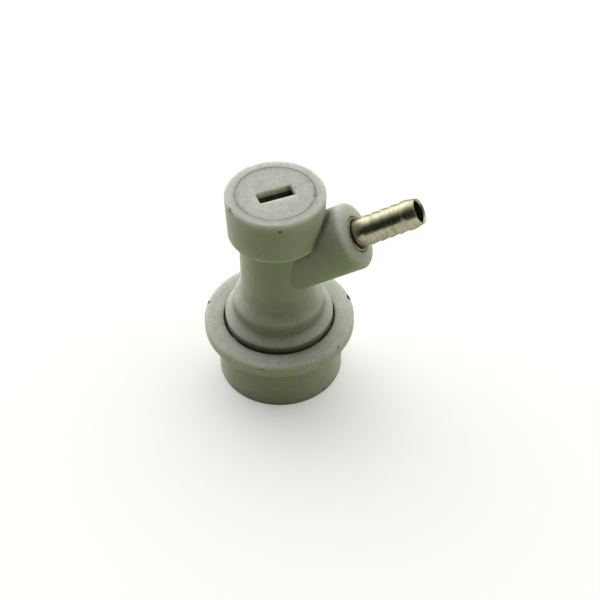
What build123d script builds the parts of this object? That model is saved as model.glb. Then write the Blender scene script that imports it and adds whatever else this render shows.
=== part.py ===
from build123d import *
from math import atan, cos, radians, sin
import os

# Gas disconnect for a ball-lock keg post, with a 1/4 in hose barb. Sizes are in millimetres.
# Z is the axis of the post socket, pointing up. The origin is the centre of the collar's foot.
# The hose barb points towards +X and up.

# Post socket, moulded up into the body: guide bore, then the bore for the post's seal, then its nose
post_r = 8.75
post_gap = 0.15
seal_bore_step = 1.2
seal_bore_len = 3.2
nose_bore_step = 0.35
nose_bore_len = 3.6
lead_in = 0.5
guide_above_ball = 4.4
guide_r = post_r + post_gap
seal_bore_r = guide_r - seal_bore_step
nose_bore_r = seal_bore_r - nose_bore_step

# Locking balls, and how far the collar and the balls travel
ball_r = 2.0
ball_count = 4
ball_reach = 1.07
ball_clear = 0.03
ball_play = 0.03
ball_proud = 0.33
pocket_play = 0.08
pocket_lip = 0.22
collar_travel = 4.0
ball_travel = ball_reach + ball_clear
ball_orbit_r = guide_r - ball_reach + ball_r

# Sleeve of the body, round the socket
sleeve_lift = 0.6
sleeve_r = ball_orbit_r + ball_r - ball_proud

# Retaining ring, snapped into a groove near the sleeve's end
ring_t = 1.2
ring_w = 3.0
ring_play = 0.05
ring_split = 22.0
ring_split_angle = 45.0
groove_depth = 0.7
groove_foot = 1.0
groove_r = sleeve_r - groove_depth
groove_z = sleeve_lift + groove_foot
ring_inner_r = groove_r + 2 * ring_play
ring_outer_r = ring_inner_r + ring_w
ring_z = groove_z + ring_play
groove_top_z = ring_z + ring_t + ring_play

# Taper inside the collar, which holds the balls in and lets them out as it rises
taper_spare = 0.23
taper_slope = ball_travel / collar_travel
taper_angle = atan(taper_slope)
ball_z = groove_top_z + collar_travel - ball_r * sin(taper_angle) + taper_spare
taper_r_at_ball = ball_orbit_r + (ball_r + ball_play) / cos(taper_angle)
taper_foot_r = taper_r_at_ball + taper_slope * (ball_z - groove_top_z)

# Collar
collar_play = 0.12
collar_guide_len = 2.15
spring_room = 2.43
collar_wall = 1.85
flange_out = 3.1
flange_t = 3.0
collar_edge = 0.5
foot_edge = 0.3
ring_bay_gap = 0.3
collar_guide_r = sleeve_r + collar_play
taper_top_z = ball_z + (taper_r_at_ball - collar_guide_r) / taper_slope
spring_bay_r = collar_guide_r + spring_room
skirt_r = spring_bay_r + collar_wall
flange_r = skirt_r + flange_out
ledge_z = taper_top_z + collar_guide_len

# Collar spring, between the collar's ledge and the body's disc
collar_wire = 0.7
collar_coils = 3.25
collar_spring_solid = 3.1
seat_play = 0.03
collar_spring_r = collar_guide_r + spring_room / 2
disc_z = ledge_z + collar_travel + collar_spring_solid

# Disc, shoulder, step, flare and neck of the body, each a little narrower than the one below
disc_sink = 0.6
disc_gap = 0.45
disc_edge_h = 2.6
disc_edge = 0.5
shoulder_w = 2.0
shoulder_h = 1.8
step_draft = 0.4
step_h = 4.1
step_edge = 1.5
flare_w = 2.05
flare_h = 2.7
neck_draft = 0.15
neck_h = 18.0
disc_r = spring_bay_r - disc_gap
step_foot_r = disc_r - shoulder_w
step_r = step_foot_r - step_draft
neck_foot_r = step_r - flare_w
neck_r = neck_foot_r - neck_draft
flange_top_z = disc_z + disc_sink
disc_top_z = disc_z + disc_edge_h
shoulder_top_z = disc_top_z + shoulder_h
step_top_z = shoulder_top_z + step_h
flare_top_z = step_top_z + flare_h
head_z = flare_top_z + neck_h

# Head, with the screw cap in it
head_h = 11.4
head_wall = 2.45
head_draft = 0.25
head_edge = 0.6
head_foot_edge = 0.25
neck_wall = 1.9
cap_t = 5.0
cap_gap = 0.1
cap_edge = 0.15
cap_shoulder = 2.3
cap_mouth_len = 4.6
slot_len = 8.3
slot_w = 2.8
slot_depth = 3.6
slot_edge = 0.4
slot_angle = 30.4
slot_floor = 1.0
spigot_len = 2.4
spigot_gap = 0.3
cap_mouth_r = neck_r - neck_wall
cap_bore_r = cap_mouth_r + cap_shoulder
cap_r = cap_bore_r - cap_gap
head_r = cap_bore_r + head_wall
spigot_r = cap_mouth_r - spigot_gap
head_top_z = head_z + head_h
cap_foot_z = head_top_z - cap_t
pocket_top_z = head_top_z - slot_depth - slot_floor

# Seal between the cap and the ledge in the head
cap_seal_wire = 1.4
cap_seal_squeeze = 0.02
cap_seal_r = (cap_mouth_r + cap_bore_r) / 2
cap_ledge_z = cap_foot_z - cap_seal_wire
cap_mouth_z = cap_ledge_z - cap_mouth_len

# Boss on the side of the neck: its end stands clear of the head's side, and is slightly crowned
boss_inset = 0.85
boss_draft = 0.3
boss_clear = 2.8
boss_tilt = 32.3
boss_drop = 11.3
boss_crown = 0.5
boss_edge = 1.2
boss_root_edge = 0.15
boss_r = neck_r - boss_inset
boss_reach = (head_r + boss_clear + boss_r * sin(radians(boss_tilt))) / cos(radians(boss_tilt))
boss_z = head_z - boss_drop

# Hose barb, sized from the hose's bore and measured outwards along the boss from the body's axis
hose_r = 3.175
tooth_grip = 0.375
tooth_depth = 0.33
tooth_pitch = 2.48
tooth_count = 5
shank_inset = 0.1
shank_len = 2.85
land_len = 1.1
nose_len = 2.5
nose_inset = 0.5
nose_wall = 0.55
mouth_lead = 0.35
stem_wall = 1.1
stem_len = 9.4
stem_lead = 0.5
barb_flange_w = 0.7
barb_flange_t = 1.4
barb_flange_gap = 0.2
barb_flange_proud = 0.15
barb_flange_edge = 0.3
passage_step = 0.6
tooth_r = hose_r + tooth_grip
tooth_root_r = tooth_r - tooth_depth
shank_r = tooth_r - shank_inset
nose_r = tooth_r - nose_inset
barb_bore_r = nose_r - nose_wall
stem_r = barb_bore_r + stem_wall
barb_flange_r = stem_r + barb_flange_w
passage_r = stem_r - passage_step
boss_end_s = boss_reach + boss_crown
flange_out_s = boss_end_s + barb_flange_proud
flange_in_s = flange_out_s - barb_flange_t
stem_in_s = flange_in_s - stem_len
first_tooth_s = flange_out_s + shank_len
last_tooth_s = first_tooth_s + (tooth_count - 1) * tooth_pitch
land_out_s = last_tooth_s + land_len
mouth_s = land_out_s + nose_len

# Valve chamber above the socket, with the seat that the poppet closes on
web_t = 2.5
valve_r = 5.25
seat_rise = 0.4
seat_w = 0.7
pin_r = 1.5
pin_hole_gap = 0.7
pin_hole_r = pin_r + pin_hole_gap
guide_top_z = ball_z + guide_above_ball
seal_bore_z = guide_top_z + seal_bore_step
nose_bore_z = seal_bore_z + seal_bore_len
web_z = nose_bore_z + nose_bore_len
valve_floor_z = web_z + web_t
seat_z = valve_floor_z + seat_rise

# Poppet, its seal and its spring
pin_point_gap = 0.2
gas_gap = 1.05
poppet_disc_t = 1.5
poppet_seal_t = 1.2
poppet_seal_play = 0.05
rib_count = 4
rib_t = 1.4
rib_h = 6.4
rib_gap = 0.25
core_step = 0.3
spring_inset = 1.3
peg_gap = 0.35
peg_h = 2.5
peg_edge = 0.4
poppet_wire = 0.6
poppet_coils = 9.0
spring_pocket_gap = 0.6
poppet_disc_r = valve_r - gas_gap
rib_r = valve_r - rib_gap
core_r = pin_r + core_step
poppet_spring_r = rib_r - spring_inset - poppet_wire / 2
pocket_r = poppet_spring_r + poppet_wire / 2 + spring_pocket_gap
peg_r = poppet_spring_r - poppet_wire / 2 - peg_gap
poppet_seal_z = seat_z + seat_play
poppet_disc_z = poppet_seal_z + poppet_seal_t
rib_z = poppet_disc_z + poppet_disc_t
peg_z = rib_z + rib_h
pin_point_z = nose_bore_z + pin_point_gap

# The boss and the barb are drawn in a plane through their own axis: X outwards along it, Y across it
boss_origin = Vector(0, 0, boss_z)
boss_out = Vector(cos(radians(boss_tilt)), 0, sin(radians(boss_tilt)))
barb_plane = Plane(origin=boss_origin, x_dir=boss_out, z_dir=(0, -1, 0))
boss_axis = Axis(boss_origin, boss_out)

os.makedirs("parts", exist_ok=True)

# Body: sleeve, disc, step, flared neck, boss and head in one moulding
with BuildPart() as body:
    with BuildSketch(Plane.XZ):
        with BuildLine():
            Polyline(
                (0, sleeve_lift),
                (sleeve_r, sleeve_lift),
                (sleeve_r, disc_z),
                (disc_r, disc_z),
                (disc_r, disc_top_z),
                (step_foot_r, shoulder_top_z),
                (step_r, step_top_z),
            )
            TangentArc((neck_foot_r, flare_top_z), (step_r, step_top_z), tangent=(0, -1))
            Polyline(
                (neck_foot_r, flare_top_z),
                (neck_r, head_z),
                (head_r - head_draft, head_z),
                (head_r, head_top_z),
                (0, head_top_z),
                (0, sleeve_lift),
            )
        make_face()
    revolve(axis=Axis.Z)
    rims = body.edges().filter_by(GeomType.CIRCLE)
    fillet(rims.group_by(Axis.Z)[-1], head_edge)
    fillet(rims.filter_by_position(Axis.Z, head_z, head_z).sort_by(SortBy.RADIUS)[-1], head_foot_edge)
    fillet(rims.filter_by_position(Axis.Z, disc_top_z, disc_top_z), disc_edge)
    fillet(rims.filter_by_position(Axis.Z, step_top_z, step_top_z), step_edge)
    with BuildSketch(barb_plane):
        with BuildLine():
            Polyline(
                (0, 0),
                (0, boss_r - boss_draft),
                (boss_reach, boss_r),
                (boss_end_s, barb_flange_r + barb_flange_gap),
                (boss_end_s, 0),
                close=True,
            )
        make_face()
    revolve(axis=boss_axis)
    crown_rims = body.faces().sort_by(boss_axis)[-2].edges().filter_by(GeomType.CIRCLE)
    fillet(crown_rims.sort_by(SortBy.RADIUS)[-1], boss_edge)
    root = body.edges().filter_by(lambda e: e.geom_type not in (GeomType.CIRCLE, GeomType.LINE))
    fillet(root, boss_root_edge)

    # Bores from the post socket up to the cap, all on the body's axis
    with BuildSketch(Plane.XZ):
        with BuildLine():
            Polyline(
                (0, sleeve_lift),
                (guide_r + lead_in, sleeve_lift),
                (guide_r, sleeve_lift + lead_in),
                (guide_r, guide_top_z),
                (seal_bore_r, seal_bore_z),
                (seal_bore_r, nose_bore_z),
                (nose_bore_r, nose_bore_z),
                (nose_bore_r, web_z),
                (pin_hole_r, web_z),
                (pin_hole_r, seat_z),
                (pin_hole_r + seat_w, seat_z),
                (pin_hole_r + seat_w, valve_floor_z),
                (valve_r, valve_floor_z),
                (valve_r, cap_mouth_z - cap_mouth_r + valve_r),
                (cap_mouth_r, cap_mouth_z),
                (cap_mouth_r, cap_ledge_z),
                (cap_bore_r, cap_ledge_z),
                (cap_bore_r, head_top_z),
                (0, head_top_z),
                close=True,
            )
        make_face()
    revolve(axis=Axis.Z, mode=Mode.SUBTRACT)

    # Groove for the retaining ring
    with BuildSketch(Plane.XZ):
        with BuildLine():
            Polyline(
                (groove_r, groove_z),
                (sleeve_r + ring_w, groove_z),
                (sleeve_r + ring_w, groove_top_z),
                (groove_r, groove_top_z),
                close=True,
            )
        make_face()
    revolve(axis=Axis.Z, mode=Mode.SUBTRACT)

    # Ball pockets, which narrow towards the socket so that the balls can't fall in
    for k in range(ball_count):
        with BuildSketch(Plane.XZ.rotated((0, 0, k * 360 / ball_count))):
            with BuildLine():
                Polyline(
                    (guide_r - ball_reach, ball_z),
                    (sleeve_r + ball_travel, ball_z),
                    (sleeve_r + ball_travel, ball_z + ball_r + pocket_play),
                    (ball_orbit_r - pocket_play, ball_z + ball_r + pocket_play),
                    (guide_r, ball_z + ball_r + pocket_play - pocket_lip),
                    (guide_r - ball_reach, ball_z + ball_r + pocket_play - pocket_lip),
                    close=True,
                )
            make_face()
        outwards = Vector(1, 0, 0).rotate(Axis.Z, k * 360 / ball_count)
        revolve(axis=Axis((0, 0, ball_z), outwards), mode=Mode.SUBTRACT)

    # Bore of the boss: a recess for the barb's flange, the stem's hole and the gas passage
    with BuildSketch(barb_plane):
        with BuildLine():
            Polyline(
                (0, 0),
                (boss_end_s, 0),
                (boss_end_s, barb_flange_r + barb_flange_gap),
                (flange_in_s, barb_flange_r + barb_flange_gap),
                (flange_in_s, stem_r),
                (stem_in_s, stem_r),
                (stem_in_s, passage_r),
                (0, passage_r),
                close=True,
            )
        make_face()
    revolve(axis=boss_axis, mode=Mode.SUBTRACT)
body.part.label = "body"
export_step(body.part, "parts/body.step")

# Collar: the grey ring that is pulled up to let the post go
with BuildPart() as collar:
    with BuildSketch(Plane.XZ):
        with BuildLine():
            Polyline(
                (ring_outer_r + ring_bay_gap, 0),
                (skirt_r, 0),
                (skirt_r, flange_top_z - flange_t),
                (flange_r, flange_top_z - flange_t),
                (flange_r, flange_top_z),
                (spring_bay_r, flange_top_z),
                (spring_bay_r, ledge_z),
                (collar_guide_r, ledge_z),
                (collar_guide_r, taper_top_z),
                (taper_foot_r, groove_top_z),
                (ring_outer_r + ring_bay_gap, groove_top_z),
                close=True,
            )
        make_face()
    revolve(axis=Axis.Z)
    rims = collar.edges().filter_by(GeomType.CIRCLE)
    fillet(rims.filter_by(lambda e: e.radius > (skirt_r + flange_r) / 2), collar_edge)
    fillet(collar.edges().filter_by(GeomType.CIRCLE).group_by(Axis.Z)[0].sort_by(SortBy.RADIUS)[-1], foot_edge)
collar.part.label = "collar"
export_step(collar.part, "parts/collar.step")

# Retaining ring: a flat spring ring, split so that it snaps into its groove
with BuildPart() as retaining_ring:
    with BuildSketch(Plane.XY.offset(ring_z)):
        Circle(ring_outer_r)
        Circle(ring_inner_r, mode=Mode.SUBTRACT)
        with BuildLine():
            Polyline(
                (0, 0),
                (2 * ring_outer_r * cos(radians(ring_split_angle - ring_split / 2)),
                 2 * ring_outer_r * sin(radians(ring_split_angle - ring_split / 2))),
                (2 * ring_outer_r * cos(radians(ring_split_angle + ring_split / 2)),
                 2 * ring_outer_r * sin(radians(ring_split_angle + ring_split / 2))),
                close=True,
            )
        make_face(mode=Mode.SUBTRACT)
    extrude(amount=ring_t)
retaining_ring.part.label = "retaining_ring"
export_step(retaining_ring.part, "parts/retaining_ring.step")

# Collar spring: a short coil that pushes the collar down against the retaining ring
with BuildPart() as collar_spring:
    coil_z = ledge_z + collar_wire / 2 + seat_play
    coil_h = disc_z - ledge_z - collar_wire - 2 * seat_play
    with BuildLine() as collar_coil:
        Helix(coil_h / collar_coils, coil_h, collar_spring_r, center=(0, 0, coil_z))
    with BuildSketch(Plane(origin=collar_coil.line @ 0, z_dir=collar_coil.line % 0)):
        Circle(collar_wire / 2)
    sweep(path=collar_coil.line, is_frenet=True)
collar_spring.part.label = "collar_spring"
export_step(collar_spring.part, "parts/collar_spring.step")

# Locking balls, each in its pocket and reaching into the socket
for k in range(ball_count):
    with BuildPart() as ball:
        with Locations(Vector(ball_orbit_r, 0, ball_z).rotate(Axis.Z, k * 360 / ball_count)):
            Sphere(ball_r)
    ball.part.label = f"ball_{k + 1}"
    export_step(ball.part, f"parts/ball_{k + 1}.step")

# Poppet: pin, sealing disc, guide ribs and a peg that centres the spring
with BuildPart() as poppet:
    with BuildSketch(Plane.XZ):
        with BuildLine():
            Polyline(
                (0, pin_point_z),
                (pin_r, pin_point_z),
                (pin_r, poppet_disc_z),
                (poppet_disc_r, poppet_disc_z),
                (poppet_disc_r, rib_z),
                (core_r, rib_z),
                (core_r, peg_z),
                (peg_r, peg_z),
                (peg_r, peg_z + peg_h),
                (0, peg_z + peg_h),
                close=True,
            )
        make_face()
    revolve(axis=Axis.Z)
    chamfer(poppet.edges().filter_by(GeomType.CIRCLE).group_by(Axis.Z)[0], peg_edge)
    chamfer(poppet.edges().filter_by(GeomType.CIRCLE).group_by(Axis.Z)[-1], peg_edge)
    with BuildSketch(Plane.XY.offset(rib_z)):
        with PolarLocations(rib_r / 2, rib_count):
            Rectangle(rib_r, rib_t)
        Circle(rib_r, mode=Mode.INTERSECT)
    extrude(amount=rib_h)
poppet.part.label = "poppet"
export_step(poppet.part, "parts/poppet.step")

# Poppet seal: a rubber washer under the poppet's disc
with BuildPart() as poppet_seal:
    with BuildSketch(Plane.XY.offset(poppet_seal_z)):
        Circle(poppet_disc_r)
        Circle(pin_r + poppet_seal_play, mode=Mode.SUBTRACT)
    extrude(amount=poppet_seal_t)
poppet_seal.part.label = "poppet_seal"
export_step(poppet_seal.part, "parts/poppet_seal.step")

# Poppet spring: from the poppet's ribs up into the pocket of the cap
with BuildPart() as poppet_spring:
    poppet_coil_z = peg_z + poppet_wire / 2 + seat_play
    poppet_coil_h = pocket_top_z - peg_z - poppet_wire - 2 * seat_play
    with BuildLine() as poppet_coil:
        Helix(poppet_coil_h / poppet_coils, poppet_coil_h, poppet_spring_r, center=(0, 0, poppet_coil_z))
    with BuildSketch(Plane(origin=poppet_coil.line @ 0, z_dir=poppet_coil.line % 0)):
        Circle(poppet_wire / 2)
    sweep(path=poppet_coil.line, is_frenet=True)
poppet_spring.part.label = "poppet_spring"
export_step(poppet_spring.part, "parts/poppet_spring.step")

# Top cap: a screw plug with a slot for a blade and a spigot that holds the spring
with BuildPart() as top_cap:
    with BuildSketch(Plane.XZ):
        with BuildLine():
            Polyline(
                (0, pocket_top_z),
                (pocket_r, pocket_top_z),
                (pocket_r, cap_foot_z - spigot_len),
                (spigot_r, cap_foot_z - spigot_len),
                (spigot_r, cap_foot_z),
                (cap_r, cap_foot_z),
                (cap_r, head_top_z),
                (0, head_top_z),
                close=True,
            )
        make_face()
    revolve(axis=Axis.Z)
    chamfer(top_cap.edges().filter_by(GeomType.CIRCLE).group_by(Axis.Z)[-1], cap_edge)
    with BuildSketch(Plane.XY.offset(head_top_z)):
        Rectangle(slot_len, slot_w, rotation=slot_angle)
    extrude(amount=-slot_depth, mode=Mode.SUBTRACT)
    chamfer(top_cap.edges().filter_by(GeomType.LINE).group_by(Axis.Z)[-1], slot_edge)
top_cap.part.label = "top_cap"
export_step(top_cap.part, "parts/top_cap.step")

# Cap seal: a rubber ring between the cap and the ledge in the head
with BuildPart() as cap_seal:
    with BuildSketch(Plane.XZ):
        with Locations((cap_seal_r, cap_ledge_z + cap_seal_wire / 2)):
            Circle(cap_seal_wire / 2 - cap_seal_squeeze)
    revolve(axis=Axis.Z)
cap_seal.part.label = "cap_seal"
export_step(cap_seal.part, "parts/cap_seal.step")

# Hose barb: a plated metal tube with saw teeth that grip the hose, pressed into the boss
with BuildPart() as hose_barb:
    with BuildSketch(barb_plane):
        with BuildLine():
            Polyline(
                (mouth_s - mouth_lead, barb_bore_r),
                (stem_in_s, barb_bore_r),
                (stem_in_s, stem_r - stem_lead),
                (stem_in_s + stem_lead, stem_r),
                (flange_in_s, stem_r),
                (flange_in_s, barb_flange_r),
                (flange_out_s, barb_flange_r),
                (flange_out_s, shank_r),
                (first_tooth_s, shank_r),
            )
            for k in range(tooth_count - 1):
                tooth_s = first_tooth_s + k * tooth_pitch
                foot_r = shank_r if k == 0 else tooth_root_r
                Polyline((tooth_s, foot_r), (tooth_s, tooth_r), (tooth_s + tooth_pitch, tooth_root_r))
            Polyline(
                (last_tooth_s, tooth_root_r),
                (last_tooth_s, tooth_r),
                (land_out_s, tooth_r),
                (mouth_s, nose_r),
                (mouth_s, barb_bore_r + mouth_lead),
                (mouth_s - mouth_lead, barb_bore_r),
            )
        make_face()
    revolve(axis=boss_axis)
    flange_rim = hose_barb.edges().filter_by(GeomType.CIRCLE).filter_by(lambda e: abs(e.radius - barb_flange_r) < 1e-4)
    fillet(flange_rim.sort_by(boss_axis)[-1], barb_flange_edge)
hose_barb.part.label = "hose_barb"
export_step(hose_barb.part, "parts/hose_barb.step")
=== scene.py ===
import bmesh
import bpy
from math import cos, hypot, radians, sin
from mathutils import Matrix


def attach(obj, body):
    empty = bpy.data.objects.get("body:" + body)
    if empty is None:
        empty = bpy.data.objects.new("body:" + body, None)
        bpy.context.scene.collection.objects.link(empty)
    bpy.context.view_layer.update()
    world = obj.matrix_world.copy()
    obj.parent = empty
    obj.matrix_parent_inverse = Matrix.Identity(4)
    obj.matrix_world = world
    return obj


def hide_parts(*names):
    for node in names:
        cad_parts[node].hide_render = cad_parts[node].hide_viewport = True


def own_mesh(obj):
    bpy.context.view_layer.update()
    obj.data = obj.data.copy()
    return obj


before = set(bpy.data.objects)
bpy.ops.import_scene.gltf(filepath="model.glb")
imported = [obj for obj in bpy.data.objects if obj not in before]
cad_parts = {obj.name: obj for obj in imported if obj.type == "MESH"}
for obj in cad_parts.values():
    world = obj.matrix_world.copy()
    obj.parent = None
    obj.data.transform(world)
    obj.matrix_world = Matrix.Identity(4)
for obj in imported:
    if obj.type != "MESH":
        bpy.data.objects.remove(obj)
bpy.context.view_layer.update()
scene = bpy.context.scene
scene.view_settings.view_transform = "Standard"
bpy.ops.object.select_all(action="DESELECT")


# ---- Camera ----------------------------------------------------------------
# The camera looks down at the disconnect from in front, a little to the right,
# as somebody does who has put it on the table.
bpy.ops.object.camera_add(
    location=(0.03952979, -0.20710817, 0.23761675),
    rotation=(radians(44.36572434), radians(0.69227865), radians(8.65227502)),
)
camera = bpy.context.object
camera.name = "camera"
camera.data.sensor_width = 36
camera.data.lens = 72
scene.camera = camera


# ---- Table and light -------------------------------------------------------
# White paper on a table, in a plain pale room. Soft light comes from behind the
# disconnect, high and from both sides, and little from where the camera is.
table_size = 14
paper_white = (0.90, 0.895, 0.89, 1)
# the light that the paper throws back on the disconnect is greener and dimmer than the
# paper looks, and the paper glows a little to the eye: both are fitted to the photo's view
paper_bounce = (0.33, 0.41, 0.20, 1)
paper_glow = 0.29
room_light = [
    # azimuth and elevation of each soft patch of light in degrees, its strength, its colour
    (0, 90, 0.14, (1.0, 1.0, 0.95)),
    (70, 50, 1.15, (1.0, 1.01, 0.92)),
    (-65, 25, 0.12, (0.85, 1.0, 0.50)),
    (12, 25, 0.68, (1.0, 0.98, 0.95)),
    (55, 12, 0.50, (1.0, 1.0, 1.0)),
    (100, 12, 1.10, (1.0, 1.0, 1.05)),
    (145, 20, 2.65, (1.0, 0.99, 0.98)),
]
patch_sharpness = 5.0


def add_node(tree, kind, **settings):
    """A shader node. A setting in capitals is a socket's value, the others are the node's own."""
    node = tree.nodes.new("ShaderNode" + kind)
    for key, value in settings.items():
        if key[0].isupper():
            node.inputs[key.replace("_", " ")].default_value = value
        else:
            setattr(node, key, value)
    return node


def reckon(tree, operation, *values):
    """A Math or VectorMath node over sockets and numbers, and the socket that it gives."""
    of_vectors = operation in ("DOT_PRODUCT", "DISTANCE", "ADD_COLOURS")
    node = add_node(tree, "VectorMath" if of_vectors else "Math",
                    operation="ADD" if operation == "ADD_COLOURS" else operation)
    sockets = [socket for socket in node.inputs if socket.enabled]
    for value, socket in zip(values, sockets):
        if isinstance(value, bpy.types.NodeSocket):
            tree.links.new(value, socket)
        else:
            socket.default_value = value
    return node.outputs["Value"] if operation in ("DOT_PRODUCT", "DISTANCE") else node.outputs[0]


def new_material(name):
    """A new material, with its node tree and its shader."""
    material = bpy.data.materials.new(name)
    material.use_nodes = True
    return material, material.node_tree, material.node_tree.nodes["Principled BSDF"]


bpy.ops.mesh.primitive_plane_add(size=table_size, location=(0, 0, 0))
table = bpy.context.object
table.name = "table_paper"

paper, tree, shader = new_material("white_paper")
shader.inputs["Roughness"].default_value = 0.85
shader.inputs["Specular IOR Level"].default_value = 0.2
shader.inputs["Emission Color"].default_value = (1, 1, 1, 1)
ray = add_node(tree, "LightPath")
seen = reckon(tree, "MAXIMUM", ray.outputs["Is Camera Ray"], ray.outputs["Is Glossy Ray"])
seen = reckon(tree, "MAXIMUM", seen, ray.outputs["Is Transmission Ray"])
white = add_node(tree, "Mix", data_type="RGBA")
white.inputs["A"].default_value = paper_bounce
white.inputs["B"].default_value = paper_white
tree.links.new(seen, white.inputs["Factor"])
tree.links.new(white.outputs["Result"], shader.inputs["Base Color"])
tree.links.new(reckon(tree, "MULTIPLY", seen, paper_glow), shader.inputs["Emission Strength"])
table.data.materials.append(paper)

room = scene.world or bpy.data.worlds.new("room")
scene.world = room
room.use_nodes = True
tree = room.node_tree
way = add_node(tree, "TexCoord").outputs["Generated"]
total = (0.0, 0.0, 0.0)
for azimuth, elevation, strength, colour in room_light:
    a, e = radians(azimuth), radians(elevation)
    towards = reckon(tree, "DOT_PRODUCT", way, (cos(a) * cos(e), sin(a) * cos(e), sin(e)))
    soft = reckon(tree, "POWER", reckon(tree, "MAXIMUM", towards, 0.0), patch_sharpness)
    patch = add_node(tree, "VectorMath", operation="SCALE")
    patch.inputs[0].default_value = [part * strength for part in colour]
    tree.links.new(soft, patch.inputs["Scale"])
    total = reckon(tree, "ADD_COLOURS", patch.outputs[0], total)
tree.links.new(total, tree.nodes["Background"].inputs["Color"])


# ---- Moulded body ----------------------------------------------------------
# One injection moulding in light grey acetal: sleeve, disc, step, neck, boss
# and head. It comes from the CAD. Years of handling have left fine specks on it,
# and its corners and creases are painted with shade.
grey = (0.56, 0.56, 0.51)
grime_and_shade = (0.075, 0.070, 0.045, 1)
stain = (0.33, 0.35, 0.22, 1)
rust = (0.10, 0.030, 0.018, 1)
pale_wear_and_highlight = (0.70, 0.69, 0.64, 1)
light_depth = 0.005
pale_edge_reach = 0.0010
corner_shade_reach = 0.0024
body_marks = [
    # x, y, z and size in metres, strength, colour: a speck on the seam, a rusty speck on the
    # head's side, and a smudge of two spots on its rim
    (0.00945, 0.00009, 0.0576, 0.00040, 0.8, grime_and_shade),
    (0.00299, -0.01140, 0.0560, 0.00055, 1.0, rust),
    (-0.00938, -0.00724, 0.0574, 0.00095, 0.70, grime_and_shade),
    (-0.00860, -0.00810, 0.0571, 0.00065, 0.45, grime_and_shade),
]
shade_rings = [
    # rings of painted shade, by low and high end, fade and strength: the disc's rim, the foot of
    # the step, the neck's root
    (0.0150, 0.0193, 0.0004, 0.60),
    (0.0212, 0.0241, 0.0007, 0.46),
    (0.0276, 0.0300, 0.0012, 0.15),
]


def ramp(tree, source, low, high, dark, light):
    """Turns a value between low and high into one between dark and light."""
    node = add_node(tree, "MapRange", From_Min=low, From_Max=high, To_Min=dark, To_Max=light)
    tree.links.new(source, node.inputs["Value"])
    return node.outputs["Result"]


def tinted(tree, factor, under, over, blend="MIX"):
    """Lays the colour over on the colour under by the factor."""
    node = add_node(tree, "Mix", data_type="RGBA", blend_type=blend)
    for value, socket in ((factor, "Factor"), (under, "A"), (over, "B")):
        if isinstance(value, bpy.types.NodeSocket):
            tree.links.new(value, node.inputs[socket])
        else:
            node.inputs[socket].default_value = value
    return node.outputs["Result"]


def noise(tree, place, scale, detail, rough=0.5):
    """A noise over the place."""
    node = add_node(tree, "TexNoise", Scale=scale, Detail=detail, Roughness=rough)
    tree.links.new(place, node.inputs["Vector"])
    return node.outputs["Fac"]


def bumped(tree, height, strength, distance, over=None):
    """The normal that a bump gives, on top of another bump's where there is one."""
    node = add_node(tree, "Bump", Strength=strength, Distance=distance)
    tree.links.new(height, node.inputs["Height"])
    if over is not None:
        tree.links.new(over, node.inputs["Normal"])
    return node.outputs["Normal"]


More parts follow.
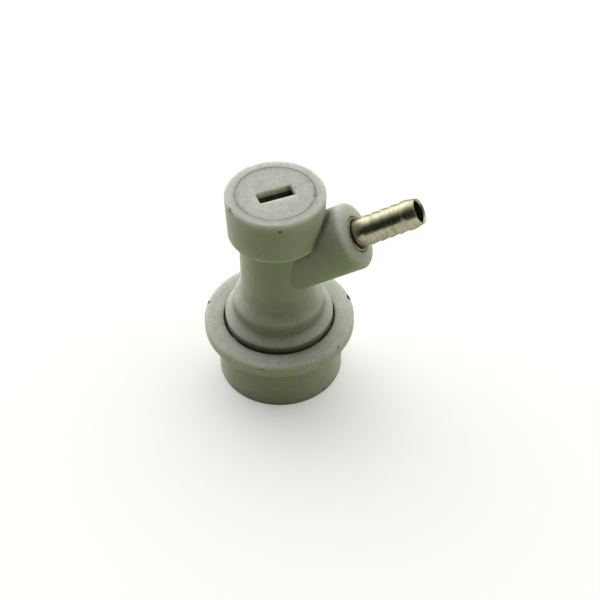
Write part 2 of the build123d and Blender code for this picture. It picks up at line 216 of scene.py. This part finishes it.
def moulded_plastic(name, colour, marks=(), rings=()):
    """Grey acetal: cloudy, speckled and stained, with painted shade in its corners, rings and
    walls, and pale edges that are partly wear and partly painted highlight.
    """
    material, tree, shader = new_material(name)
    place = add_node(tree, "TexCoord").outputs["Object"]

    # light goes a little way into acetal, which softens its edges
    shader.inputs["Subsurface Weight"].default_value = 1.0
    shader.inputs["Subsurface Radius"].default_value = (1.0, 1.0, 1.0)
    shader.inputs["Subsurface Scale"].default_value = light_depth

    cloud = noise(tree, place, 110.0, 4.0, 0.55)
    blotch = noise(tree, place, 380.0, 4.0, 0.6)
    grain = noise(tree, place, 2300.0, 3.0, 0.7)
    clouded = ramp(tree, cloud, 0.35, 0.65, 0.95, 1.04)
    now = tinted(tree, 1.0, (*colour, 1), clouded, "MULTIPLY")
    now = tinted(tree, 1.0, now, ramp(tree, grain, 0.3, 0.7, 0.80, 1.18), "MULTIPLY")
    now = tinted(tree, ramp(tree, blotch, 0.45, 0.70, 0.0, 0.34), now, stain)

    # upright walls are painted yellower in patches, the greenish tint of the shade on the sides
    facing = add_node(tree, "SeparateXYZ")
    tree.links.new(add_node(tree, "NewGeometry").outputs["Normal"], facing.inputs["Vector"])
    wall = ramp(tree, facing.outputs["Z"], 0.3, 0.9, 1.0, 0.0)
    uneven = ramp(tree, noise(tree, place, 170.0, 3.0, 0.55), 0.35, 0.65, 0.10, 0.70)
    shaded_wall_tint = [part * ratio for part, ratio in zip(colour, (0.95, 1.0, 0.72))] + [1]
    now = tinted(tree, reckon(tree, "MULTIPLY", wall, uneven), now, shaded_wall_tint)

    # small dark specks, a few to each square centimetre
    specks = add_node(tree, "TexVoronoi", Scale=560.0)
    tree.links.new(place, specks.inputs["Vector"])
    speck_size = ramp(tree, noise(tree, place, 260.0, 2.0, 0.55), 0.50, 0.70, 0.0, 0.20)
    is_speck = reckon(tree, "LESS_THAN", specks.outputs["Distance"], speck_size)
    now = tinted(tree, reckon(tree, "MULTIPLY", is_speck, 0.5), now, grime_and_shade)

    # edges painted pale, partly as wear and partly as painted highlight, and painted shade in the
    # corners
    edge = add_node(tree, "AmbientOcclusion", samples=8, inside=True, Distance=pale_edge_reach)
    worn_and_highlit = reckon(tree, "MULTIPLY", ramp(tree, edge.outputs["AO"], 0.40, 0.85, 0.6, 0.0),
                    ramp(tree, blotch, 0.38, 0.60, 1.0, 0.1))
    now = tinted(tree, worn_and_highlit, now, pale_wear_and_highlight)
    # painted shade: darker where the ambient occlusion finds corners and creases
    corner = add_node(tree, "AmbientOcclusion", samples=8, Distance=corner_shade_reach)
    now = tinted(tree, ramp(tree, corner.outputs["AO"], 0.30, 0.85, 0.85, 0.0), now, grime_and_shade)

    # rings of painted shade, each between two heights, with soft ends
    height = add_node(tree, "SeparateXYZ")
    tree.links.new(place, height.inputs["Vector"])
    for low, high, fade, strength in rings:
        begins = ramp(tree, height.outputs["Z"], low - fade, low + fade, 0.0, strength)
        ends = ramp(tree, height.outputs["Z"], high - fade, high + fade, 1.0, 0.0)
        ring = reckon(tree, "MULTIPLY", begins, ends)
        patchy = ramp(tree, cloud, 0.30, 0.60, 0.6, 1.0)
        now = tinted(tree, reckon(tree, "MULTIPLY", ring, patchy), now, grime_and_shade)

    # single marks, each at its own place and with a ragged edge
    for x, y, z, size, strength, mark_colour in marks:
        away = reckon(tree, "DISTANCE", place, (x, y, z))
        rough_edge = noise(tree, place, 2400.0, 2.0, 0.55)
        ragged = reckon(tree, "MULTIPLY_ADD", rough_edge, -size, away)
        now = tinted(tree, ramp(tree, ragged, 0.0, size * 0.45, strength, 0.0), now, mark_colour)
    tree.links.new(now, shader.inputs["Base Color"])

    tree.links.new(ramp(tree, cloud, 0.3, 0.7, 0.40, 0.54), shader.inputs["Roughness"])
    fine = bumped(tree, grain, 0.3, 0.00006)
    broad = bumped(tree, noise(tree, place, 180.0, 2.0, 0.55), 0.35, 0.0003, fine)
    tree.links.new(broad, shader.inputs["Normal"])
    return material


def paint(node_name, material):
    """Gives a piece that comes from the CAD its material."""
    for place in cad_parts[node_name].material_slots:
        place.material = material


body_plastic = moulded_plastic("body_plastic", grey, body_marks, shade_rings)
paint("body", body_plastic)


# ---- Collar ----------------------------------------------------------------
# The grey ring that the fingers pull up: a skirt with a wide flange, turned
# and bored as one moulding. Its flange is nicked where it has been dropped.
collar_section = [
    # radius, height and rounding of each corner, in metres
    (0.01420, 0.00000, 0.00020), (0.01590, 0.00000, 0.00040), (0.01590, 0.014597, 0.00025),
    (0.01900, 0.014597, 0.00045), (0.01900, 0.017597, 0.00085), (0.01405, 0.017597, 0.00025),
    (0.01405, 0.009897, 0), (0.01162, 0.009897, 0.00020), (0.01162, 0.007747, 0),
    (0.012953, 0.002900, 0), (0.01420, 0.002900, 0),
]
collar_steps = 192
collar_marks = [
    # a speck low on the skirt and one on top of the flange
    (0.01280, -0.00943, 0.0009, 0.00070, 0.8, grime_and_shade),
    (0.01650, -0.00930, 0.0176, 0.00060, 0.5, grime_and_shade),
]
collar_chips = [
    # azimuth in degrees, radius, height, size along the rim, outwards and up, and seed
    (25.6, 0.01860, 0.01745, (0.00190, 0.00095, 0.00090), 3),
    (176.0, 0.01870, 0.01735, (0.00140, 0.00080, 0.00090), 5),
    (171.0, 0.01895, 0.01720, (0.00050, 0.00035, 0.00050), 6),
    (-93.5, 0.01902, 0.01705, (0.00280, 0.00045, 0.00024), 8),
    (-30.0, 0.01893, 0.01715, (0.00050, 0.00035, 0.00040), 9),
]
same_place = 1e-6


def choose(piece):
    """Makes the piece the only selected object, and the active one."""
    bpy.ops.object.select_all(action="DESELECT")
    piece.select_set(True)
    bpy.context.view_layer.objects.active = piece


def settle():
    """Puts the selected object's place, turn and scale into its mesh."""
    bpy.ops.object.transform_apply(location=True, rotation=True, scale=True)


def face_outwards():
    """Turns all the faces of the mesh that is being edited outwards."""
    bpy.ops.mesh.select_all(action="SELECT")
    bpy.ops.mesh.normals_make_consistent(inside=False)


def pick(kind, wanted):
    """Selects the vertices, edges or faces whose middle is wanted."""
    bpy.ops.mesh.select_mode(type=kind)
    bpy.ops.mesh.select_all(action="DESELECT")
    mesh = bmesh.from_edit_mesh(bpy.context.object.data)
    parts = {"VERT": mesh.verts, "EDGE": mesh.edges, "FACE": mesh.faces}[kind]
    for part in parts:
        if kind == "VERT":
            middle = part.co
        elif kind == "EDGE":
            middle = (part.verts[0].co + part.verts[1].co) / 2
        else:
            middle = part.calc_center_median()
        part.select_set(bool(wanted(middle, part)))
    mesh.select_flush_mode()
    bmesh.update_edit_mesh(bpy.context.object.data)


def new_point(name, x, z):
    """A new mesh of one selected point, left in edit mode."""
    bpy.ops.object.select_all(action="DESELECT")
    bpy.ops.mesh.primitive_plane_add(size=0.001, location=(0, 0, 0))
    bpy.context.object.name = name
    bpy.ops.object.mode_set(mode="EDIT")
    bpy.ops.mesh.select_mode(type="VERT")
    bpy.ops.mesh.select_all(action="SELECT")
    bpy.ops.mesh.merge(type="CENTER")
    bpy.ops.transform.translate(value=(x, 0, z))
    return bpy.context.object


def draw(steps):
    """Draws on from the selected point, by steps outwards and up."""
    for across, up in steps:
        bpy.ops.mesh.extrude_region_move(TRANSFORM_OT_translate={"value": (across, 0, up)})


def turned(name, section, steps, closed=True, turn=360):
    """A turned piece in edit mode: a section with rounded corners, spun round Z."""
    piece = new_point(name, section[0][0], section[0][1])
    draw([(there[0] - here[0], there[1] - here[1]) for here, there in zip(section, section[1:])])
    bpy.ops.mesh.select_all(action="SELECT")
    bpy.ops.mesh.edge_face_add()
    for rounding in sorted({corner[2] for corner in section if corner[2]}):
        pick("VERT", lambda at, _: any(
            corner[2] == rounding and hypot(at.x - corner[0], at.z - corner[1]) < same_place
            for corner in section))
        bpy.ops.mesh.bevel(offset=rounding, segments=4, affect="VERTICES", offset_type="OFFSET")
    bpy.ops.mesh.select_all(action="SELECT")
    bpy.ops.mesh.delete(type="ONLY_FACE")
    if not closed:
        middle_r = (section[0][0] + section[-1][0]) / 2
        middle_z = (section[0][1] + section[-1][1]) / 2
        pick("EDGE", lambda at, _: hypot(at.x - middle_r, at.z - middle_z) < same_place)
        bpy.ops.mesh.delete(type="EDGE")
    bpy.ops.mesh.select_all(action="SELECT")
    bpy.ops.mesh.spin(steps=steps, angle=radians(turn), center=(0, 0, 0), axis=(0, 0, 1))
    bpy.ops.mesh.select_all(action="SELECT")
    bpy.ops.mesh.remove_doubles(threshold=same_place)
    face_outwards()
    return piece


def smoothed(piece, angle=35):
    """Leaves edit mode and shades the piece round, with its flats kept flat."""
    bpy.ops.object.mode_set(mode="OBJECT")
    choose(piece)
    bpy.ops.object.shade_smooth_by_angle(angle=radians(angle))
    bpy.ops.object.modifier_add(type="WEIGHTED_NORMAL")
    piece.modifiers[-1].keep_sharp = True
    bpy.ops.object.modifier_apply(modifier=piece.modifiers[-1].name)


def finish_piece(piece, material, body, slot, *nodes):
    """Gives the piece its material and body, and hides the CAD nodes that it stands for. The slot
    is not used.
    """
    if not piece.data.materials:
        piece.data.materials.append(material)
    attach(piece, body)
    if nodes:
        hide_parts(*nodes)


def chip(piece, azimuth, radius, height, size, seed, dirt_and_shade):
    """Takes a ragged chip out of a rim. Its size is along the rim, outwards and up."""
    bpy.ops.object.mode_set(mode="OBJECT")
    bpy.ops.object.select_all(action="DESELECT")
    bpy.ops.mesh.primitive_ico_sphere_add(subdivisions=3, radius=0.5, location=(0, 0, 0))
    cutter = bpy.context.object
    bpy.ops.object.mode_set(mode="EDIT")
    bpy.ops.mesh.select_all(action="SELECT")
    bpy.ops.transform.vertex_random(offset=0.07, seed=seed)
    bpy.ops.object.mode_set(mode="OBJECT")
    along, outwards, up = size
    turn = radians(azimuth)
    cutter.scale = (outwards, along, up)
    cutter.rotation_euler = (0, 0, turn)
    cutter.location = (radius * cos(turn), radius * sin(turn), height)
    settle()
    cutter.data.materials.append(dirt_and_shade)
    choose(piece)
    bpy.ops.object.modifier_add(type="BOOLEAN")
    cut = piece.modifiers[-1]
    cut.operation = "DIFFERENCE"
    cut.solver = "EXACT"
    cut.material_mode = "TRANSFER"
    cut.object = cutter
    bpy.ops.object.modifier_apply(modifier=cut.name)
    bpy.data.objects.remove(cutter)


collar_plastic = moulded_plastic("collar_plastic", (0.55, 0.55, 0.50), collar_marks)
# the chips' cut faces are painted near black: dirt, and painted shade in the hollows
nick_dirt_and_shade, tree, shader = new_material("nick_dirt_and_shade")
patchy = noise(tree, add_node(tree, "TexCoord").outputs["Object"], 3000.0, 3.0)
tree.links.new(tinted(tree, patchy, (0.012, 0.011, 0.008, 1), (0.06, 0.055, 0.035, 1)),
               shader.inputs["Base Color"])
shader.inputs["Roughness"].default_value = 0.8

collar = turned("collar_ring", collar_section, collar_steps)
bpy.ops.object.mode_set(mode="OBJECT")
collar.data.materials.append(collar_plastic)
for azimuth, radius, height, size, seed in collar_chips:
    chip(collar, azimuth, radius, height, size, seed, nick_dirt_and_shade)
smoothed(collar)
finish_piece(collar, collar_plastic, "collar", "collar_plastic", "collar")


# ---- Retaining ring --------------------------------------------------------
# A flat ring of spring steel, split so that it opens over the sleeve and snaps
# into its groove, where it keeps the collar on.
ring_section = [
    (0.01090, 0.00165, 0.00012), (0.01390, 0.00165, 0.00012),
    (0.01390, 0.00285, 0.00012), (0.01090, 0.00285, 0.00012),
]
ring_steps = 120
# how wide the split is, and where its middle is, in degrees
ring_split = 22
ring_split_at = 45


def steel(name, colour, roughness, brushing=900.0):
    """Bright steel with fine marks from drawing or turning."""
    material, tree, shader = new_material(name)
    shader.inputs["Metallic"].default_value = 1.0
    place = add_node(tree, "TexCoord").outputs["Object"]
    marks = noise(tree, place, brushing, 4.0, 0.6)
    dull = noise(tree, place, brushing / 6, 3.0)
    shade = ramp(tree, dull, 0.3, 0.7, 0.86, 1.04)
    tree.links.new(tinted(tree, 1.0, (*colour, 1), shade, "MULTIPLY"), shader.inputs["Base Color"])
    tree.links.new(ramp(tree, dull, 0.3, 0.7, roughness * 1.25, roughness * 0.8),
                   shader.inputs["Roughness"])
    tree.links.new(bumped(tree, marks, 0.2, 0.00002), shader.inputs["Normal"])
    return material


ring = turned("split_retaining_ring", ring_section, ring_steps, turn=360 - ring_split)
pick("EDGE", lambda at, edge: edge.is_boundary)
bpy.ops.mesh.edge_face_add()
face_outwards()
smoothed(ring)
ring.rotation_euler = (0, 0, radians(ring_split_at + ring_split / 2))
settle()
ring_steel = steel("ring_steel", (0.56, 0.57, 0.57), 0.30)
finish_piece(ring, ring_steel, "body", "ring_steel", "retaining_ring")


# ---- Collar spring ---------------------------------------------------------
# A short coil of drawn stainless wire with closed ends, between the collar's
# ledge and the underside of the disc. It pushes the collar down.
spring_r = 0.012835
spring_wire = 0.00070
spring_low, spring_high = 0.009897, 0.016997
spring_turns = 2.0
# rise of a closed coil, in wires
closed_rise = 1.02


def wind(legs, step=12.0):
    """Draws what is selected round Z, leg by leg: degrees, rise and way outwards."""
    angle = 0.0
    for degrees, rise, outwards in legs:
        count = max(1, round(degrees / step))
        for _ in range(count):
            bpy.ops.mesh.extrude_region_move()
            bpy.ops.transform.rotate(value=-radians(degrees / count), orient_axis="Z",
                                     orient_type="GLOBAL", center_override=(0, 0, 0))
            angle += radians(degrees / count)
            shift = outwards / count
            bpy.ops.transform.translate(
                value=(shift * cos(angle), shift * sin(angle), rise / count))


def coil(name, radius, wire, low, high, turns, sides=12):
    """A compression spring in edit mode, with a closed coil at each end."""
    bpy.ops.object.select_all(action="DESELECT")
    bpy.ops.mesh.primitive_circle_add(vertices=sides, radius=wire / 2, fill_type="NGON",
                                      location=(0, 0, 0), rotation=(radians(90), 0, 0))
    piece = bpy.context.object
    piece.name = name
    settle()
    bpy.ops.object.mode_set(mode="EDIT")
    bpy.ops.mesh.select_all(action="SELECT")
    bpy.ops.transform.translate(value=(radius, 0, low + wire / 2))
    open_rise = high - low - wire - 2 * wire * closed_rise
    wind([(360, wire * closed_rise, 0), (360 * turns, open_rise, 0),
          (360, wire * closed_rise, 0)])
    face_outwards()
    return piece


spring = coil("collar_return_spring", spring_r, spring_wire, spring_low, spring_high,
              spring_turns)
smoothed(spring, 50)
spring_steel = steel("spring_steel", (0.58, 0.59, 0.60), 0.24, 1500.0)
finish_piece(spring, spring_steel, "body", "spring_steel", "collar_spring")
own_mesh(spring)


# ---- Locking balls ---------------------------------------------------------
# Four hardened steel balls in the sleeve's pockets. They grip the groove of
# the post, and let it go when the collar rises.
ball_steel = steel("ball_steel", (0.66, 0.67, 0.68), 0.10, 700.0)
for name in ("ball_1", "ball_2", "ball_3", "ball_4"):
    paint(name, ball_steel)


# ---- Poppet and its rubber -------------------------------------------------
# A pale moulded plunger with a pin, four guide ribs and a peg, and a washer of
# black rubber under its disc, which closes on the seat.
def black_rubber(name):
    """Black rubber with a faint pale bloom."""
    material, tree, shader = new_material(name)
    bloom = noise(tree, add_node(tree, "TexCoord").outputs["Object"], 600.0, 4.0)
    tone = tinted(tree, ramp(tree, bloom, 0.45, 0.75, 0.0, 0.6),
                  (0.012, 0.012, 0.012, 1), (0.05, 0.05, 0.048, 1))
    tree.links.new(tone, shader.inputs["Base Color"])
    tree.links.new(ramp(tree, bloom, 0.3, 0.7, 0.55, 0.72), shader.inputs["Roughness"])
    return material


poppet_plastic = moulded_plastic("poppet_plastic", (0.66, 0.66, 0.62))
seal_rubber = black_rubber("seal_rubber")
paint("poppet", poppet_plastic)
paint("poppet_seal", seal_rubber)


# ---- Poppet spring ---------------------------------------------------------
# A slim coil of stainless wire from the poppet's ribs up into the cap. It
# shuts the valve when there is no post.
valve_spring_r = 0.0034
valve_wire = 0.0006
valve_low, valve_high = 0.031030, 0.052997
valve_turns = 8.0

valve_spring = coil("poppet_return_spring", valve_spring_r, valve_wire, valve_low, valve_high,
                    valve_turns)
smoothed(valve_spring, 50)
finish_piece(valve_spring, spring_steel, "body", "spring_steel", "poppet_spring")
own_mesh(valve_spring)


# ---- Cap seal --------------------------------------------------------------
# A rubber ring between the cap and the ledge in the head. It comes from the
# CAD, is of the poppet's rubber and rises with the cap.
paint("cap_seal", seal_rubber)


# ---- Screw cap -------------------------------------------------------------
# A grey moulded plug, screwed flush into the head with a blade in its slot.
# It has a short thread, a spigot underneath and a pocket for the spring.
cap_top = 0.057597
cap_foot = 0.052597
cap_section = [
    (0.00000, 0.052997, 0), (0.00430, 0.052997, 0.00020), (0.00430, 0.050197, 0.00015),
    (0.00680, 0.050197, 0.00030), (0.00680, cap_foot, 0.00020), (0.00872, cap_foot, 0.00020),
    (0.00872, 0.056497, 0), (0.00936, 0.056697, 0), (0.00936, cap_top, 0.00005),
    (0.00640, cap_top, 0),
]
cap_steps = 128
# the cap's place in its bore, a little off centre within its play
cap_play = (-0.00001, 0.00003, 0)
slot_long, slot_wide, slot_deep = 0.0087, 0.0033, 0.0036
slot_edge = 0.0004
slot_corner = 0.00030
slot_foot_edge = 0.00015
slot_turn = 30.4
slot_middle = (0.00022, -0.00038, cap_top)
# a circle this wide holds the slot and nothing else of the cap's top
slot_reach = 0.0056
# straight sides of the slot are longer than this, and its painted shade begins this far down
slot_side_least = 0.0012
slot_shade_from = 0.0016
thread_pitch = 0.002
# sections of the ridges by steps outwards and up, and their runs by degrees and way outwards
cap_ridge = ((0.00052, 0.00042), (0, 0.00040), (-0.00052, 0.00042))
cap_ridge_runs = ((40, 0.00062), (390, 0), (40, -0.00062))
cap_marks = [
    # a speck on the seam and a faint one on the cap's face
    (0.00918, 0.00009, 0.0576, 0.00045, 0.9, grime_and_shade),
    (0.00480, -0.00560, 0.0576, 0.00050, 0.35, grime_and_shade),
]


def near_slot(at):
    """Whether a point is over the slot or at its edge."""
    return hypot(at.x - slot_middle[0], at.y - slot_middle[1]) < slot_reach


def beside_wall(edge):
    """Whether an edge bounds an upright face."""
    return any(abs(face.normal.z) < 0.5 for face in edge.link_faces)


def thread_ridge(name, radius, foot, section, runs):
    """A thread: a ridge of the section, wound round Z, that comes and goes at its ends."""
    ridge = new_point(name, radius, foot)
    draw(section)
    bpy.ops.mesh.select_all(action="SELECT")
    bpy.ops.mesh.edge_face_add()
    wind([(degrees, thread_pitch * degrees / 360, outwards) for degrees, outwards in runs],
         step=5.0)
    face_outwards()
    smoothed(ridge)
    return ridge


cap = turned("slotted_cap", cap_section, cap_steps, closed=False)
# the slot: a rectangle with small corners, joined to the cap's open top and sunk
bpy.ops.mesh.select_mode(type="VERT")
bpy.ops.mesh.primitive_plane_add(size=1, location=slot_middle)
bpy.ops.transform.resize(value=(slot_long, slot_wide, 1), center_override=slot_middle)
bpy.ops.mesh.bevel(offset=slot_corner, segments=3, affect="VERTICES")
bpy.ops.transform.rotate(value=-radians(slot_turn), orient_axis="Z", orient_type="GLOBAL",
                         center_override=slot_middle)
bpy.ops.mesh.delete(type="ONLY_FACE")
pick("EDGE", lambda at, edge: edge.is_wire and edge.calc_length() > slot_side_least)
bpy.ops.mesh.subdivide(number_cuts=15)
pick("EDGE", lambda at, edge: edge.is_wire or (
    edge.is_boundary and at.z > cap_top - same_place))
bpy.ops.mesh.bridge_edge_loops()
pick("EDGE", lambda at, edge: edge.is_boundary)
draw([(0, -slot_deep * 0.45), (0, -slot_deep * 0.55)])
bpy.ops.mesh.edge_face_add()
face_outwards()
pick("EDGE", lambda at, edge: near_slot(at) and at.z > cap_top - same_place
     and beside_wall(edge))
bpy.ops.mesh.bevel(offset=slot_edge, segments=4, affect="EDGES", profile=0.4, loop_slide=False)
pick("EDGE", lambda at, edge: near_slot(at) and abs(at.z - cap_top + slot_deep) < same_place
     and beside_wall(edge))
bpy.ops.mesh.bevel(offset=slot_foot_edge, segments=2, affect="EDGES")
smoothed(cap)
thread = thread_ridge("cap_thread", 0.0081, cap_foot + 0.00005, cap_ridge, cap_ridge_runs)
choose(cap)
thread.select_set(True)
bpy.ops.object.join()
cap.location = cap_play
settle()

cap_plastic = moulded_plastic("cap_plastic", (0.56, 0.56, 0.52), cap_marks)
cap.data.materials.append(cap_plastic)
# the slot's deeper walls and floor are painted dark, as painted shade
cap.data.materials.append(moulded_plastic("slot_shade", (0.10, 0.098, 0.075)))
bpy.ops.object.mode_set(mode="EDIT")
pick("FACE", lambda at, face: near_slot(at)
     and cap_top - slot_deep - 1e-5 < at.z < cap_top - slot_shade_from)
cap.active_material_index = 1
bpy.ops.object.material_slot_assign()
bpy.ops.object.mode_set(mode="OBJECT")
finish_piece(cap, cap_plastic, "top_cap", "cap_plastic", "top_cap")


# ---- Thread in the head ----------------------------------------------------
# The body's own thread, moulded in the bore above the seal, in which the cap
# turns. It lies half a pitch from the cap's thread.
head_ridge = ((-0.00065, 0.00040), (0, 0.00050), (0.00065, 0.00040))
head_ridge_runs = ((40, -0.00055), (500, 0), (40, 0.00055))
head_ridge_turn = 60

head_thread = thread_ridge("head_bore_thread", 0.01002, 0.05260 - 0.00065, head_ridge,
                           head_ridge_runs)
head_thread.rotation_euler = (0, 0, radians(head_ridge_turn))
settle()
finish_piece(head_thread, body_plastic, "body", "body_plastic")


# ---- Hose barb -------------------------------------------------------------
# A turned brass tube, nickel plated and yellowed, pressed into the boss. Five
# saw teeth grip the hose, and a thin flange closes the hole in the boss.
barb_tilt = 32.3
barb_from_z = 0.034897
flange_out = 0.0231341
tooth_out, tooth_foot, shank_out = 0.00355, 0.00322, 0.00345
bore = 0.0025
first_tooth, tooth_pitch, tooth_count = 0.0259841, 0.00248, 5
barb_steps = 96
barb_section = [
    # radius, distance along the barb's axis and rounding of each corner, in metres
    (bore, 0.0123341, 0), (0.0031, 0.0123341, 0), (0.0036, 0.0128341, 0), (0.0036, 0.0217341, 0),
    (0.0043, 0.0217341, 0.00010), (0.0043, flange_out, 0.00028), (0.0037, flange_out, 0.00025),
    (0.0036, flange_out - 0.00022, 0.00008), (shank_out, flange_out - 0.00022, 0.00005),
]
for k in range(tooth_count):
    at = first_tooth + k * tooth_pitch
    barb_section += [(shank_out if k == 0 else tooth_foot, at, 0), (tooth_out, at, 0.00004)]
barb_section += [
    (tooth_out, 0.0370041, 0.00030), (0.00305, 0.0395041, 0.00016),
    (bore + 0.00035, 0.0395041, 0.00008), (bore, 0.0391541, 0.00010),
]
nickel_colour = (0.43, 0.42, 0.31, 1)
tarnish_colour = (0.29, 0.275, 0.14, 1)
darkened_flange = (0.10, 0.09, 0.05, 1)
root_shade = (0.05, 0.045, 0.03, 1)
root_shade_reach = 0.0008

barb = turned("hose_barb_tube", barb_section, barb_steps)
smoothed(barb, 30)
barb.rotation_euler = (0, radians(90 - barb_tilt), 0)
barb.location = (0, 0, barb_from_z)
settle()

nickel, tree, shader = new_material("barb_nickel")
shader.inputs["Metallic"].default_value = 1.0
shader.inputs["Specular Tint"].default_value = (0.55, 0.54, 0.45, 1)
# coordinates along the barb's axis, drawn out round it, give the marks of the lathe
along = add_node(tree, "Mapping", Rotation=(0, radians(barb_tilt), 0))
tree.links.new(add_node(tree, "TexCoord").outputs["Object"], along.inputs["Vector"])
round_it = add_node(tree, "Mapping", Scale=(1, 0.06, 0.06))
tree.links.new(along.outputs["Vector"], round_it.inputs["Vector"])
lathe = noise(tree, round_it.outputs["Vector"], 3200.0, 3.0, 0.6)
tarnish = noise(tree, along.outputs["Vector"], 450.0, 4.0)
tone = tinted(tree, 1.0, nickel_colour, ramp(tree, lathe, 0.3, 0.7, 0.78, 1.15), "MULTIPLY")
tone = tinted(tree, ramp(tree, tarnish, 0.42, 0.68, 0.0, 0.65), tone, tarnish_colour)
# its flange, nearest the boss, is painted darker
place_along = add_node(tree, "SeparateXYZ")
tree.links.new(along.outputs["Vector"], place_along.inputs["Vector"])
at_flange = barb_from_z * sin(radians(barb_tilt)) + flange_out
is_flange = ramp(tree, place_along.outputs["X"], at_flange + 0.0001, at_flange + 0.0004, 0.55, 0.0)
tone = tinted(tree, is_flange, tone, darkened_flange)
# painted shade where the barb meets the boss
root = add_node(tree, "AmbientOcclusion", samples=8, Distance=root_shade_reach)
tone = tinted(tree, ramp(tree, root.outputs["AO"], 0.30, 0.85, 0.85, 0.0), tone, root_shade)
tree.links.new(tone, shader.inputs["Base Color"])
tree.links.new(ramp(tree, tarnish, 0.3, 0.7, 0.20, 0.31), shader.inputs["Roughness"])
tree.links.new(bumped(tree, lathe, 0.6, 0.00003), shader.inputs["Normal"])
finish_piece(barb, nickel, "body", "barb_metal", "hose_barb")
